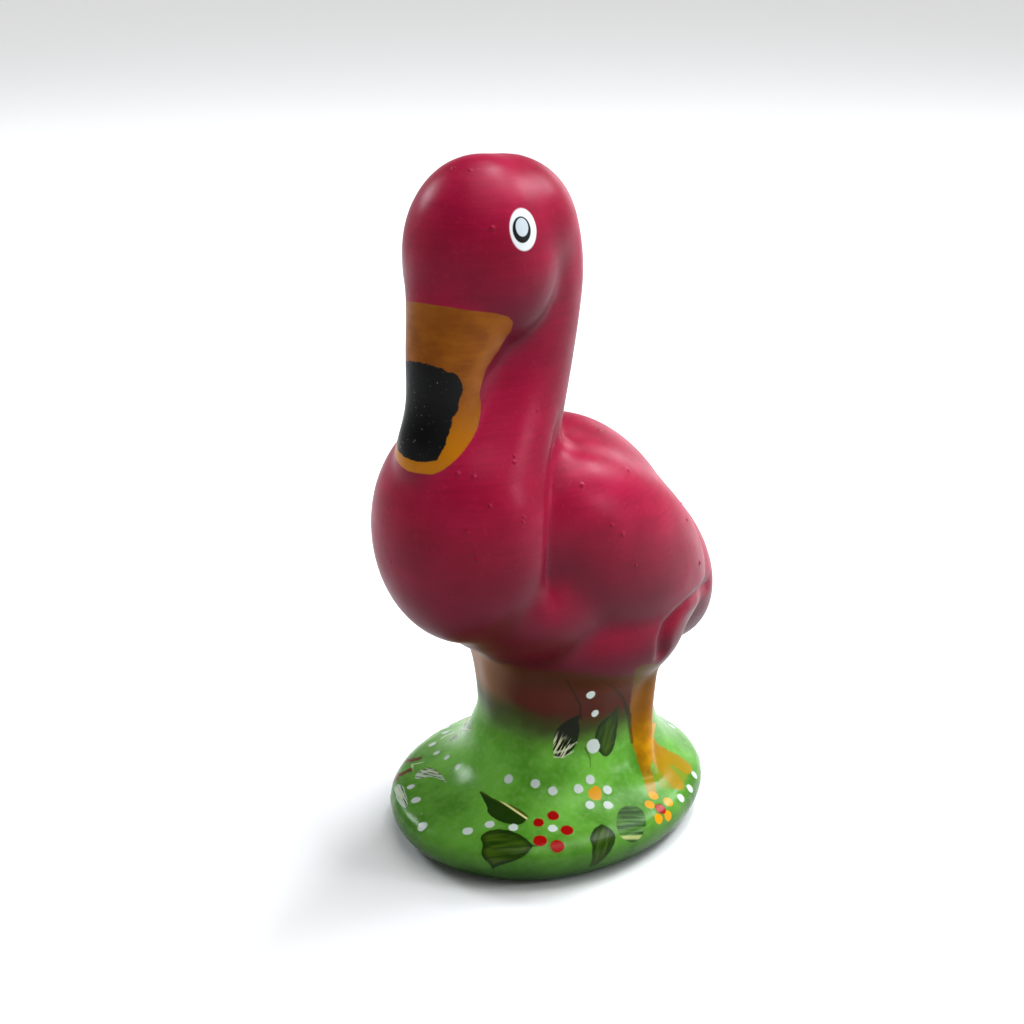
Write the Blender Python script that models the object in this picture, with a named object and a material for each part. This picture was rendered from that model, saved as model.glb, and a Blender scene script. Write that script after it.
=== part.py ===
"""Ceramic flamingo ornament, cast in one piece on its own base.

The piece is one closed solid. The bird faces -Y, its left side is +X, and the origin is the middle of
the flat underside. The hollow inside a real casting is left out, because nothing opens into it.
"""

import math

import bmesh
import bpy
import numpy as np
from mathutils import Matrix

# Base, in metres: an oval pebble with a flat underside
BASE_WIDTH = 0.1172
BASE_LENGTH = 0.1380
BASE_WIDEST_Z = 0.014
BASE_TOP_Z = 0.0240
BASE_BOTTOM_Z = -0.003
BASE_EDGE = 0.30
FOOT_RADIUS = 0.0338
FOOT_FILLET = 0.018
FOOT_SHIFT = 0.009

# Eggs: the middle, then the radii along X, along their own length and across it, in metres
BODY_MIDDLE = (0.0, 0.0176, 0.1149)
BODY_RADII = (0.0390, 0.0555, 0.0365)
BODY_TILT = math.radians(-56)
RUMP_MIDDLE = (0.0, 0.0500, 0.0944)
RUMP_RADII = (0.0338, 0.0505, 0.0272)
RUMP_TILT = math.radians(-54)
BELLY_MIDDLE = (0.0, -0.0200, 0.1022)
BELLY_RADII = (0.0356, 0.0425, 0.0275)
BELLY_TILT = math.radians(-26)
CHEST_MIDDLE = (0.0, -0.0470, 0.1348)
CHEST_RADII = (0.0348, 0.0321, 0.0440)
THROAT_MIDDLE = (0.0, -0.0450, 0.1860)
THROAT_RADII = (0.0125, 0.0150, 0.0300)
CROWN_MIDDLE = (0.0, -0.0255, 0.2378)
CROWN_RADII = (0.0243, 0.0312, 0.0279)
SKULL_MIDDLE = (0.0, -0.0360, 0.2332)
SKULL_RADII = (0.0266, 0.0283, 0.0340)
HEAD_MIDDLE = (0.0, -0.0357, 0.2292)
HEAD_RADII = (0.0269, 0.0277, 0.0310)
BILL_END_MIDDLE = (0.0, -0.0605, 0.1655)
BILL_END_RADII = (0.0152, 0.0135, 0.0150)
WING_MIDDLE = (0.0195, 0.0110, 0.1141)
WING_RADII = (0.0285, 0.062, 0.0335)
WING_TILT = math.radians(-39)
THIGH_MIDDLE = (0.0212, 0.0110, 0.0800)
THIGH_RADII = (0.0212, 0.036, 0.0235)
THIGH_YAW = math.radians(-12)

# Limbs: stations of x, y, z and radius, in metres
COLUMN = (
    (0.0, 0.010, 0.010, 0.0360),
    (0.0, 0.011, 0.045, 0.0372),
    (0.0, 0.011, 0.060, 0.0385),
    (0.0, 0.010, 0.085, 0.0410),
    (0.0, 0.012, 0.120, 0.0360),
)
COLUMN_WIDTH = 0.90
NECK = (
    (0.0, -0.046, 0.118, 0.0310),
    (0.0, -0.044, 0.144, 0.0305),
    (0.0, -0.038, 0.158, 0.0290),
    (0.0, -0.030, 0.171, 0.0252),
    (0.0, -0.0220, 0.186, 0.0225),
    (0.0, -0.0170, 0.206, 0.0226),
    (0.0, -0.0132, 0.228, 0.0227),
    (0.0, -0.0165, 0.248, 0.0195),
    (0.0, -0.0260, 0.253, 0.0120),
)
BILL = (
    (0.0, -0.0400, 0.232, 0.0240),
    (0.0, -0.0462, 0.214, 0.0204),
    (0.0, -0.0542, 0.199, 0.0152),
    (0.0, -0.0565, 0.186, 0.0128),
    (0.0, -0.0578, 0.175, 0.0138),
    (0.0, -0.0635, 0.165, 0.0140),
    (0.0, -0.0685, 0.158, 0.0090),
)
LEG = (
    (0.0265, 0.024, 0.078, 0.0090),
    (0.0280, 0.023, 0.062, 0.0070),
    (0.0294, 0.019, 0.047, 0.0065),
    (0.0336, 0.015, 0.035, 0.0060),
    (0.0400, 0.011, 0.024, 0.0045),
)

# Grooves pressed into both sides: points of x, y, z and depth, and how wide each groove is, in metres
WING_GROOVE = (
    (0.0215, -0.0184, 0.1732, 0.0008),
    (0.0233, -0.0225, 0.1664, 0.0016),
    (0.0268, -0.0281, 0.1593, 0.0018),
    (0.0314, -0.0349, 0.1492, 0.0019),
    (0.0337, -0.0387, 0.1378, 0.0021),
    (0.0328, -0.0382, 0.1260, 0.0019),
    (0.0310, -0.0352, 0.1142, 0.0013),
    (0.0305, -0.0335, 0.1052, 0.0002),
)
WING_GROOVE_WIDTH = 0.0060
TAIL_GROOVE = (
    (0.0319, 0.0616, 0.0848, 0.0016),
    (0.0399, 0.0453, 0.0899, 0.0024),
    (0.0427, 0.0360, 0.0905, 0.0027),
    (0.0433, 0.0295, 0.0891, 0.0029),
    (0.0432, 0.0246, 0.0874, 0.0030),
    (0.0428, 0.0200, 0.0843, 0.0030),
    (0.0427, 0.0178, 0.0796, 0.0030),
    (0.0421, 0.0182, 0.0742, 0.0030),
)
TAIL_GROOVE_WIDTH = 0.0058

# Skin, in metres: how finely the joined forms are skinned, and how many passes soften the seams
CORE_VOXEL = 0.0022
CORE_PASSES = 22
SKIN_VOXEL = 0.0015
SKIN_PASSES = 8
TRIANGLES = 9400


def clear_scene():
    for obj in list(bpy.data.objects):
        bpy.data.objects.remove(obj)


def link(name, mesh):
    obj = bpy.data.objects.new(name, mesh)
    bpy.context.scene.collection.objects.link(obj)
    return obj


def egg(name, middle, radii, tilt=0.0, yaw=0.0):
    """An ellipsoid whose length lies along Y. tilt lifts its rear, and yaw swings its rear towards -X."""
    mesh = bpy.data.meshes.new(name)
    shape = bmesh.new()
    bmesh.ops.create_uvsphere(shape, u_segments=48, v_segments=32, radius=1.0)
    turned = Matrix.Rotation(yaw, 4, "Z") @ Matrix.Rotation(tilt, 4, "X")
    placed = Matrix.Translation(middle) @ turned @ Matrix.Diagonal((*radii, 1.0))
    bmesh.ops.transform(shape, matrix=placed, verts=shape.verts)
    shape.to_mesh(mesh)
    shape.free()
    return link(name, mesh)


def close(mesh):
    shape = bmesh.new()
    shape.from_mesh(mesh)
    bmesh.ops.remove_doubles(shape, verts=shape.verts, dist=1e-5)
    bmesh.ops.recalc_face_normals(shape, faces=shape.faces)
    shape.to_mesh(mesh)
    shape.free()


def limb(name, stations, width=1.0):
    """A round limb along its stations, width times as wide across X as it is deep."""
    curve = bpy.data.curves.new(name, "CURVE")
    curve.dimensions = "3D"
    curve.bevel_depth = 1.0
    curve.bevel_resolution = 5
    curve.resolution_u = 10
    curve.use_fill_caps = True
    spline = curve.splines.new("NURBS")
    spline.points.add(len(stations) - 1)
    for point, (x, y, z, radius) in zip(spline.points, stations):
        point.co = (x / width, y, z, 1.0)
        point.radius = radius
    spline.use_endpoint_u = True
    spline.order_u = 3
    guide = link(name + "_guide", curve)
    mesh = bpy.data.meshes.new_from_object(guide)
    bpy.data.objects.remove(guide)
    mesh.transform(Matrix.Diagonal((width, 1.0, 1.0, 1.0)))
    close(mesh)
    return link(name, mesh)


def base_profile():
    """The base from the middle of its underside, round its edge and over its dome, then up the stump's foot."""
    rim = BASE_WIDTH / 2
    edge = rim * BASE_EDGE
    low = BASE_WIDEST_Z - BASE_BOTTOM_Z
    high = BASE_TOP_Z - BASE_WIDEST_Z
    points = [(0.0, BASE_BOTTOM_Z), (rim - edge, BASE_BOTTOM_Z)]
    for step in range(1, 9):
        angle = step * math.pi / 16
        points.append((rim - edge + edge * math.sin(angle), BASE_WIDEST_Z - low * math.cos(angle)))
    steps = 24
    for step in range(1, steps + 1):
        radius = rim - (rim - FOOT_RADIUS) * step / steps
        into_fillet = max(0.0, 1.0 - (radius - FOOT_RADIUS) / FOOT_FILLET)
        dome = high * math.sqrt(1.0 - (radius / rim) ** 2)
        fillet = FOOT_FILLET * (1.0 - math.sqrt(1.0 - into_fillet ** 2))
        points.append((radius, BASE_WIDEST_Z + dome + fillet))
    points.append((0.0, points[-1][1]))
    return points


def base_pebble():
    """The base turned about Z, spread along Y into its oval, its foot moved back under the stump."""
    rim = BASE_WIDTH / 2
    mesh = bpy.data.meshes.new("base")
    shape = bmesh.new()
    rows = [shape.verts.new((radius, 0.0, z)) for radius, z in base_profile()]
    edges = [shape.edges.new(pair) for pair in zip(rows, rows[1:])]
    bmesh.ops.spin(shape, geom=rows + edges, cent=(0, 0, 0), axis=(0, 0, 1), angle=math.tau, steps=72,
                   use_merge=True)
    bmesh.ops.remove_doubles(shape, verts=shape.verts, dist=1e-6)
    bmesh.ops.recalc_face_normals(shape, faces=shape.faces)
    for vertex in shape.verts:
        inward = min(1.0, (rim - math.hypot(vertex.co.x, vertex.co.y)) / (rim - FOOT_RADIUS))
        vertex.co.y *= BASE_LENGTH / BASE_WIDTH
        if vertex.co.z > BASE_WIDEST_Z:
            vertex.co.y += FOOT_SHIFT * inward * inward * (3.0 - 2.0 * inward)
    shape.to_mesh(mesh)
    shape.free()
    return link("base", mesh)


def fuse(name, target, others, voxel, passes):
    """Joins the forms into one skin and softens the seams between them."""
    for other in others:
        join = target.modifiers.new("join_" + other.name, "BOOLEAN")
        join.operation = "UNION"
        join.solver = "EXACT"
        join.object = other
    skin = target.modifiers.new("skin", "REMESH")
    skin.mode = "VOXEL"
    skin.voxel_size = voxel
    soften = target.modifiers.new("soften", "SMOOTH")
    soften.factor = 0.5
    soften.iterations = passes
    mesh = bpy.data.meshes.new_from_object(target.evaluated_get(bpy.context.evaluated_depsgraph_get()))
    for old in [target, *others]:
        bpy.data.objects.remove(old)
    return link(name, mesh)


def mirrored(middle, side):
    return (middle[0] * side, *middle[1:])


def core():
    """The base, stump, body, thighs, wings, chest, neck and bill, which run softly into each other."""
    column = limb("column", COLUMN, COLUMN_WIDTH)
    body = egg("body", BODY_MIDDLE, BODY_RADII, BODY_TILT)
    chest = egg("chest", CHEST_MIDDLE, CHEST_RADII)
    neck = limb("neck", NECK)
    belly = egg("belly", BELLY_MIDDLE, BELLY_RADII, BELLY_TILT)
    throat = egg("throat", THROAT_MIDDLE, THROAT_RADII)
    crown = egg("crown", CROWN_MIDDLE, CROWN_RADII)
    skull = egg("skull", SKULL_MIDDLE, SKULL_RADII)
    bill = limb("bill", BILL)
    forms = [column, body, belly, chest, neck, throat, crown, skull, bill]
    for side, name in ((1, "left"), (-1, "right")):
        forms.append(egg(name + "_wing", mirrored(WING_MIDDLE, side), WING_RADII, WING_TILT))
        forms.append(egg(name + "_thigh", mirrored(THIGH_MIDDLE, side), THIGH_RADII, 0.0, THIGH_YAW * side))
    return fuse("core", base_pebble(), forms, CORE_VOXEL, CORE_PASSES)


def details():
    """The head, bill end, rump and legs, whose outlines read as creases on the core."""
    forms = [
        egg("head", HEAD_MIDDLE, HEAD_RADII),
        egg("bill_end", BILL_END_MIDDLE, BILL_END_RADII),
        egg("rump", RUMP_MIDDLE, RUMP_RADII, RUMP_TILT),
    ]
    for side, name in ((1, "left"), (-1, "right")):
        forms.append(limb(name + "_leg", [mirrored(station, side) for station in LEG]))
    return forms


def press(mesh, path, width):
    """Presses a soft groove into the skin along a path, and along its mirror image."""
    count = len(mesh.vertices)
    points = np.empty(count * 3, np.float32)
    normals = np.empty(count * 3, np.float32)
    mesh.vertices.foreach_get("co", points)
    mesh.vertex_normals.foreach_get("vector", normals)
    points, normals = points.reshape(-1, 3), normals.reshape(-1, 3)
    folded = points * (np.sign(points[:, :1]) * (1, 0, 0) + (0, 1, 1))
    drop = np.zeros(count)
    for start, end in zip(path, path[1:]):
        start, end = np.array(start), np.array(end)
        along = (end - start)[:3]
        share = np.clip((folded - start[:3]) @ along / (along @ along), 0.0, 1.0)
        distance = np.linalg.norm(folded - start[:3] - share[:, None] * along, axis=1)
        depth = start[3] + (end[3] - start[3]) * share
        drop = np.maximum(drop, depth * np.clip(1.0 - distance / width, 0.0, 1.0) ** 1.7)
    mesh.vertices.foreach_set("co", (points - normals * drop[:, None]).astype(np.float32).ravel())
    mesh.update()


def cut_underside(mesh):
    """Cuts the base off at z = 0 and closes it with a flat face."""
    shape = bmesh.new()
    shape.from_mesh(mesh)
    everything = shape.verts[:] + shape.edges[:] + shape.faces[:]
    cut = bmesh.ops.bisect_plane(shape, geom=everything, dist=1e-6, plane_co=(0, 0, 0),
                                 plane_no=(0, 0, 1), clear_inner=True)
    rim = [edge for edge in cut["geom_cut"] if isinstance(edge, bmesh.types.BMEdge)]
    bmesh.ops.contextual_create(shape, geom=rim)
    bmesh.ops.recalc_face_normals(shape, faces=shape.faces)
    shape.to_mesh(mesh)
    shape.free()


def flamingo():
    skin = fuse("skin", core(), details(), SKIN_VOXEL, SKIN_PASSES)
    press(skin.data, WING_GROOVE, WING_GROOVE_WIDTH)
    press(skin.data, TAIL_GROOVE, TAIL_GROOVE_WIDTH)
    fewer = skin.modifiers.new("fewer", "DECIMATE")
    fewer.ratio = TRIANGLES / (2 * len(skin.data.polygons))
    mesh = bpy.data.meshes.new_from_object(skin.evaluated_get(bpy.context.evaluated_depsgraph_get()))
    bpy.data.objects.remove(skin)
    cut_underside(mesh)
    return link("flamingo", mesh)


clear_scene()
flamingo()
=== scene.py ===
"""Ceramic flamingo ornament: the painted casting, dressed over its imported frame."""

import math
import random

import bmesh
import bpy
import numpy as np
from mathutils import Matrix, Vector
from mathutils.bvhtree import BVHTree


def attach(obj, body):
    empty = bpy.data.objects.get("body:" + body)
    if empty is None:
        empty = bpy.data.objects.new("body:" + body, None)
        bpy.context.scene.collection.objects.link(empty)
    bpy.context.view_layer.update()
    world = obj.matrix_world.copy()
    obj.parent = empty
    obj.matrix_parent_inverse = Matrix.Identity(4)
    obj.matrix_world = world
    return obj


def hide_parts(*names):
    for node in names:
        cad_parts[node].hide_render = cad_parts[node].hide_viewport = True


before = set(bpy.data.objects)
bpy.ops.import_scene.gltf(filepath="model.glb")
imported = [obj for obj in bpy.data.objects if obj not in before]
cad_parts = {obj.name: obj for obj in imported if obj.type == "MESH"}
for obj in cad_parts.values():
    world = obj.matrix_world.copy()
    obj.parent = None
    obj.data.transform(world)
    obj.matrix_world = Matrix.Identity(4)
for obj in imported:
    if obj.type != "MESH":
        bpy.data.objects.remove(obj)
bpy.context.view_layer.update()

# Base, in metres: an oval pebble with a flat underside
BASE_WIDTH = 0.1172
BASE_LENGTH = 0.1380
BASE_WIDEST_Z = 0.014
BASE_TOP_Z = 0.0240
BASE_BOTTOM_Z = -0.003
BASE_EDGE = 0.30
FOOT_RADIUS = 0.0338
FOOT_FILLET = 0.018
FOOT_SHIFT = 0.009

# Eggs: the middle, then the radii along X, along their own length and across it, in metres
BODY_MIDDLE = (0.0, 0.0176, 0.1149)
BODY_RADII = (0.0390, 0.0555, 0.0365)
BODY_TILT = math.radians(-56)
RUMP_MIDDLE = (0.0, 0.0500, 0.0944)
RUMP_RADII = (0.0338, 0.0505, 0.0272)
RUMP_TILT = math.radians(-54)
BELLY_MIDDLE = (0.0, -0.0200, 0.1022)
BELLY_RADII = (0.0356, 0.0425, 0.0275)
BELLY_TILT = math.radians(-26)
CHEST_MIDDLE = (0.0, -0.0470, 0.1348)
CHEST_RADII = (0.0348, 0.0321, 0.0440)
THROAT_MIDDLE = (0.0, -0.0450, 0.1860)
THROAT_RADII = (0.0125, 0.0150, 0.0300)
CROWN_MIDDLE = (0.0, -0.0255, 0.2378)
CROWN_RADII = (0.0243, 0.0312, 0.0279)
SKULL_MIDDLE = (0.0, -0.0360, 0.2332)
SKULL_RADII = (0.0266, 0.0283, 0.0340)
HEAD_MIDDLE = (0.0, -0.0357, 0.2292)
HEAD_RADII = (0.0269, 0.0277, 0.0310)
BILL_END_MIDDLE = (0.0, -0.0605, 0.1655)
BILL_END_RADII = (0.0152, 0.0135, 0.0150)
WING_MIDDLE = (0.0195, 0.0110, 0.1141)
WING_RADII = (0.0285, 0.062, 0.0335)
WING_TILT = math.radians(-39)
THIGH_MIDDLE = (0.0212, 0.0110, 0.0800)
THIGH_RADII = (0.0212, 0.036, 0.0235)
THIGH_YAW = math.radians(-12)

# Limbs: stations of x, y, z and radius, in metres
COLUMN = (
    (0.0, 0.010, 0.010, 0.0360),
    (0.0, 0.011, 0.045, 0.0372),
    (0.0, 0.011, 0.060, 0.0385),
    (0.0, 0.010, 0.085, 0.0410),
    (0.0, 0.012, 0.120, 0.0360),
)
COLUMN_WIDTH = 0.90
NECK = (
    (0.0, -0.046, 0.118, 0.0310),
    (0.0, -0.044, 0.144, 0.0305),
    (0.0, -0.038, 0.158, 0.0290),
    (0.0, -0.030, 0.171, 0.0252),
    (0.0, -0.0220, 0.186, 0.0225),
    (0.0, -0.0170, 0.206, 0.0226),
    (0.0, -0.0132, 0.228, 0.0227),
    (0.0, -0.0165, 0.248, 0.0195),
    (0.0, -0.0260, 0.253, 0.0120),
)
BILL = (
    (0.0, -0.0400, 0.232, 0.0240),
    (0.0, -0.0462, 0.214, 0.0204),
    (0.0, -0.0542, 0.199, 0.0152),
    (0.0, -0.0565, 0.186, 0.0128),
    (0.0, -0.0578, 0.175, 0.0138),
    (0.0, -0.0635, 0.165, 0.0140),
    (0.0, -0.0685, 0.158, 0.0090),
)
LEG = (
    (0.0265, 0.024, 0.078, 0.0090),
    (0.0280, 0.023, 0.062, 0.0070),
    (0.0294, 0.019, 0.047, 0.0065),
    (0.0336, 0.015, 0.035, 0.0060),
    (0.0400, 0.011, 0.024, 0.0045),
)

# Grooves pressed into both sides: points of x, y, z and depth, and how wide each groove is, in metres
WING_GROOVE = (
    (0.0215, -0.0184, 0.1732, 0.0008),
    (0.0233, -0.0225, 0.1664, 0.0016),
    (0.0268, -0.0281, 0.1593, 0.0018),
    (0.0314, -0.0349, 0.1492, 0.0019),
    (0.0337, -0.0387, 0.1378, 0.0021),
    (0.0328, -0.0382, 0.1260, 0.0019),
    (0.0310, -0.0352, 0.1142, 0.0013),
    (0.0305, -0.0335, 0.1052, 0.0002),
)
WING_GROOVE_WIDTH = 0.0060
TAIL_GROOVE = (
    (0.0319, 0.0616, 0.0848, 0.0016),
    (0.0399, 0.0453, 0.0899, 0.0024),
    (0.0427, 0.0360, 0.0905, 0.0027),
    (0.0433, 0.0295, 0.0891, 0.0029),
    (0.0432, 0.0246, 0.0874, 0.0030),
    (0.0428, 0.0200, 0.0843, 0.0030),
    (0.0427, 0.0178, 0.0796, 0.0030),
    (0.0421, 0.0182, 0.0742, 0.0030),
)
TAIL_GROOVE_WIDTH = 0.0058
GROOVE_SHARPNESS = 1.7

# Skin, in metres: how finely the joined forms are skinned, and how many passes soften the seams
CORE_VOXEL = 0.0022
CORE_PASSES = 22
SKIN_VOXEL = 0.00165
SKIN_PASSES = 8

# Finer skin: how far past a mark it reaches, in metres, and the cuts it takes at marks and at pimples
MARK_MARGIN = 0.0009
MARK_CUTS = 2
PIMPLE_CUTS = 4

# Camera, matched to the picture
CAMERA_AZIMUTH = math.radians(40)
CAMERA_ELEVATION = math.radians(21)
CAMERA_DISTANCE = 0.70
CAMERA_TARGET = Vector((0.0, 0.0, 0.13))
CAMERA_LENS = 65.2
CAMERA_SENSOR = 36.0
CAMERA_SHIFT = (-0.035, -0.0085)
PICTURE = 1024
PICTURE_SCALE = CAMERA_LENS / CAMERA_SENSOR * PICTURE
METRES_PER_PIXEL = CAMERA_DISTANCE / PICTURE_SCALE
PICTURE_MIDDLE = (PICTURE * (0.5 - CAMERA_SHIFT[0]), PICTURE * (0.5 + CAMERA_SHIFT[1]))

# Painted dots: points of the picture, and radii in metres
DOT = 0.0018
WHITE_DOTS = (
    (457.7, 766.8, 0.0014), (447.0, 757.4, 0.0014), (436.9, 753.0, 0.0014), (432.5, 744.5, 0.0016),
    (411.0, 786.7, 0.0016), (416.0, 799.9, 0.0019), (422.2, 826.2, 0.0021), (467.7, 831.0, 0.0020),
    (489.7, 824.3, DOT), (513.3, 827.4, DOT), (508.5, 779.0, DOT), (535.3, 783.7, DOT),
    (552.7, 791.0, DOT), (590.7, 694.8, DOT), (595.1, 713.4, 0.0015), (593.4, 746.1, 0.0028),
    (694.4, 774.8, 0.0017), (690.2, 788.6, DOT), (681.0, 797.8, DOT), (552.8, 828.4, DOT),
    (590.2, 779.8, DOT), (578.5, 788.8, DOT), (607.6, 790.0, DOT), (589.9, 805.0, DOT),
    (607.8, 805.0, DOT),
)
RED_DOTS = (
    (538.4, 822.6, 0.0020), (553.1, 815.5, 0.0022), (567.0, 830.2, 0.0024), (540.1, 840.6, 0.0026),
    (557.3, 846.0, 0.0026), (660.5, 808.7, 0.0023),
)
BERRY_DOTS = (
    (406.5, 761.0, DOT), (412.5, 760.0, DOT), (418.5, 758.8, 0.0016), (403.0, 773.5, DOT),
    (409.0, 770.5, DOT), (397.5, 775.5, DOT), (395.5, 780.5, DOT),
)
ORANGE_DOTS = (
    (594.9, 793.9, 0.0027), (653.5, 795.5, 0.0021), (649.5, 804.5, 0.0021), (668.3, 801.8, 0.0021),
    (658.8, 818.6, 0.0021), (668.2, 815.7, 0.0021), (596.5, 790.5, DOT),
)

# How far from any mark a point counts as, and the angle from which marks are repeated on the right side
FAR = 0.02
MIRROR_FROM = math.radians(100)

# Marks that the picture doesn't show. Dots: angle round from the front in degrees, height and radius in
# metres. Flowers: angle, height, the paints of petals and heart, and the heart's radius.
BACK_WHITE_DOTS = (
    (-80, 0.020, DOT), (-87, 0.018, DOT), (-168, 0.021, DOT), (160, 0.020, DOT),
    (-152, 0.038, 0.0026), (-151, 0.047, 0.0015), (-149, 0.052, 0.0017),
)
BACK_FLOWERS = (
    (-141, 0.024, "white", "orange", 0.0025), (178, 0.025, "white", "orange", 0.0025),
    (-158, 0.013, "red", "white", 0.0022), (-72, 0.012, "red", "white", 0.0022),
    (152, 0.012, "orange", "red", 0.0022),
)

# Flowers' petals: how many, the turn of the first, and their distance and size as shares of the heart's
PETALS = 5
FIRST_PETAL = math.radians(18)
PETAL_DISTANCE = 2.2
PETAL_SIZE = 0.8

# Bill, eye, legs and toes, as points of the picture
BILL_EDGE = (
    (426, 303.5), (449, 307), (466, 310), (495, 313), (508, 316.5), (513, 322), (511, 331), (499, 350),
    (487, 367), (482, 382), (479.5, 393), (481, 404), (480.5, 414), (477.5, 428), (471, 441), (462, 453),
    (452, 463), (441, 471), (432, 474.5),
)
BLACK_EDGE = (
    (426, 363), (441, 368), (456.5, 374), (462, 380), (462, 394), (459, 403), (458, 411), (453, 417),
    (450, 432), (444, 445), (439, 455), (433, 460), (426, 462),
)
BILL_ROOT_SLANT = 0.12
BILL_ROOT_Z = 0.200
BILL_END_SLANT = -0.22
BILL_END_Z = 0.165
BILL_FRONT_Y = -0.10
EYE_PLACE = (524, 229)
EYE_STEP = 6
LEG_OUTLINE = (
    (636, 664), (634, 680), (630.7, 697), (630, 715), (630, 738), (633, 746), (637, 758), (641, 770),
    (645, 784), (648.5, 797), (657, 798), (656, 786), (652.5, 773), (650.5, 764), (652.5, 761), (657.5, 769),
    (664.5, 778), (673, 788), (680, 791), (685, 788), (682.5, 781), (675, 772), (669, 765), (673, 765),
    (681, 770), (688, 775), (693, 770), (690, 763.5), (680, 756.5), (667, 749.5), (656, 743), (653, 735),
    (658, 715), (664, 700), (668, 690), (674, 664),
)
WEB_OUTLINE = ((652, 750), (660, 748), (690, 765), (684, 786), (676, 789), (656, 788))
LEG_PLACES = ((642, 680), (642, 700), (642, 720), (642, 740), (650, 765), (670, 765))
LEG_REACH = 0.018

# Leaves: their outlines, stems and tips in the picture, and how each is painted: olive with dark edges,
# with a cream rib, barred, near black with a white tip, or white with dark streaks
OLIVE, RIBBED, BARRED, STREAKED, WHITE = 0, 1, 2, 3, 4
LEAVES = (
    (((478, 789), (478, 789), (487, 794.5), (495, 799.5), (510, 804.5), (520, 809), (527.5, 815), (528, 819),
      (521, 825), (510, 824.5), (497.5, 820.5), (490, 815.5), (487, 811), (487.5, 807), (484, 801)),
     (528, 818), (480, 792), RIBBED),
    (((533, 846), (533, 846), (527.5, 839.5), (520, 834.5), (510, 830.5), (500, 829), (490, 830),
      (482.5, 834), (480, 838.5), (483.5, 845), (480.5, 853), (484.5, 860.5), (488, 862), (493, 869.5),
      (493, 869.5), (497, 866), (510, 862.5), (522.5, 857.5), (529, 852)),
     (533, 846), (482, 851), OLIVE),
    (((602, 824), (602, 824), (595, 827.5), (591, 834), (589.5, 840), (592.5, 845), (592, 852.5),
      (592.5, 859), (589, 867), (589, 867), (597.5, 864.5), (605, 858), (611, 850.5), (615, 842.5),
      (615.5, 835), (611, 828.5)),
     (603, 824), (590, 866), OLIVE),
    (((626, 805.5), (635, 805), (642.5, 810), (645.8, 817.5), (645.8, 827.5), (641, 837.5), (634, 843),
      (626, 840.5), (619, 835.5), (616, 825), (617, 815), (620, 809)),
     (632, 805), (633, 843), BARRED),
    (((581, 714), (581, 714), (578, 722), (580, 728), (578.5, 737), (576, 745), (570.5, 752), (563, 758.5),
      (555, 757), (553, 750), (553.5, 741), (555, 732.5), (560, 725.5), (567.5, 720), (575, 716.5)),
     (580, 716), (557, 757), STREAKED),
    (((618.5, 704), (618.5, 704), (612.5, 713), (602.5, 720.5), (596.5, 728), (594.5, 740), (597.5, 750.5),
      (605, 758), (611.5, 753), (615.5, 742), (617, 729), (618.5, 716)),
     (618, 706), (603, 757), OLIVE),
    (((413.5, 779), (417.5, 771.5), (427, 767), (436, 769), (441, 774), (447.5, 783.5), (447.5, 783.5),
      (439.5, 779), (431, 776), (421, 778.5)),
     (447, 783), (415, 777), WHITE),
    (((396, 783.5), (403.5, 785.5), (406, 794), (408.5, 806), (403.5, 809), (397.5, 801), (393.5, 792)),
     (407, 808), (396, 785), WHITE),
    (((461, 731), (461, 731), (464, 725), (467.5, 720), (467.5, 720), (470, 726), (472, 731), (467, 731)),
     (468, 720), (466, 731), BARRED),
    (((449, 741), (449, 741), (454, 735.5), (460, 733), (460, 733), (457, 738)),
     (449, 741), (460, 733), BARRED),
)

# Leaves that the picture doesn't show: angle round from the front, height, length, width, turn from
# upright and how each is painted
BACK_LEAVES = (
    (-160, 0.028, 0.018, 0.0080, 35, RIBBED), (-174, 0.012, 0.017, 0.0085, 80, OLIVE),
    (-142, 0.011, 0.017, 0.0085, -75, OLIVE), (-94, 0.011, 0.018, 0.0085, 75, OLIVE),
    (-144, 0.044, 0.017, 0.0070, 12, OLIVE), (-160, 0.044, 0.017, 0.0070, -12, STREAKED),
    (166, 0.031, 0.018, 0.0080, -40, RIBBED), (167, 0.011, 0.015, 0.0085, 80, BARRED),
    (-127, 0.012, 0.014, 0.0085, 10, BARRED),
)
LEAF_BEND = 0.10

# How far past a leaf's edge its streaks are laid, in metres, how far it reaches from its middle, in points
# of the picture, and how deep it goes, in metres
LEAF_MARGIN = 0.003
LEAF_REACH = 30
LEAF_DEPTH = 0.006

# Strokes: points of the picture, and the width at each in metres
DARK_STROKES_AND_PAINTED_SHADOW = (
    (((565, 678), (574, 692), (580, 705), (581, 718)), (0.0005, 0.0009, 0.0010, 0.0012)),
    # This stroke down the leg's left edge is partly a painted shadow beside the leg's relief
    (((598, 678), (613, 686), (623, 698), (629.5, 716), (632, 742)),
     (0.0004, 0.0008, 0.0012, 0.0024, 0.0014)),
    (((585, 748), (590, 758), (590.5, 767)), (0.0006, 0.0006, 0.0004)),
    (((531, 846), (541, 845)), (0.0011, 0.0007)),
)
PALE_STROKES = (
    (((400, 767.5), (412, 764.5), (424, 762)), (0.0007, 0.0010, 0.0006)),
    (((441, 739), (446, 735), (453, 732.5)), (0.0009, 0.0016, 0.0008)),
    (((555, 753), (566, 750), (577, 742)), (0.0007, 0.0009, 0.0004)),
    (((554, 757), (563, 757), (574, 751)), (0.0005, 0.0008, 0.0004)),
    (((418, 775), (428, 770.5), (438, 773)), (0.0010, 0.0016, 0.0010)),
    (((397, 787), (401, 796), (405, 805)), (0.0006, 0.0010, 0.0006)),
)

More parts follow.
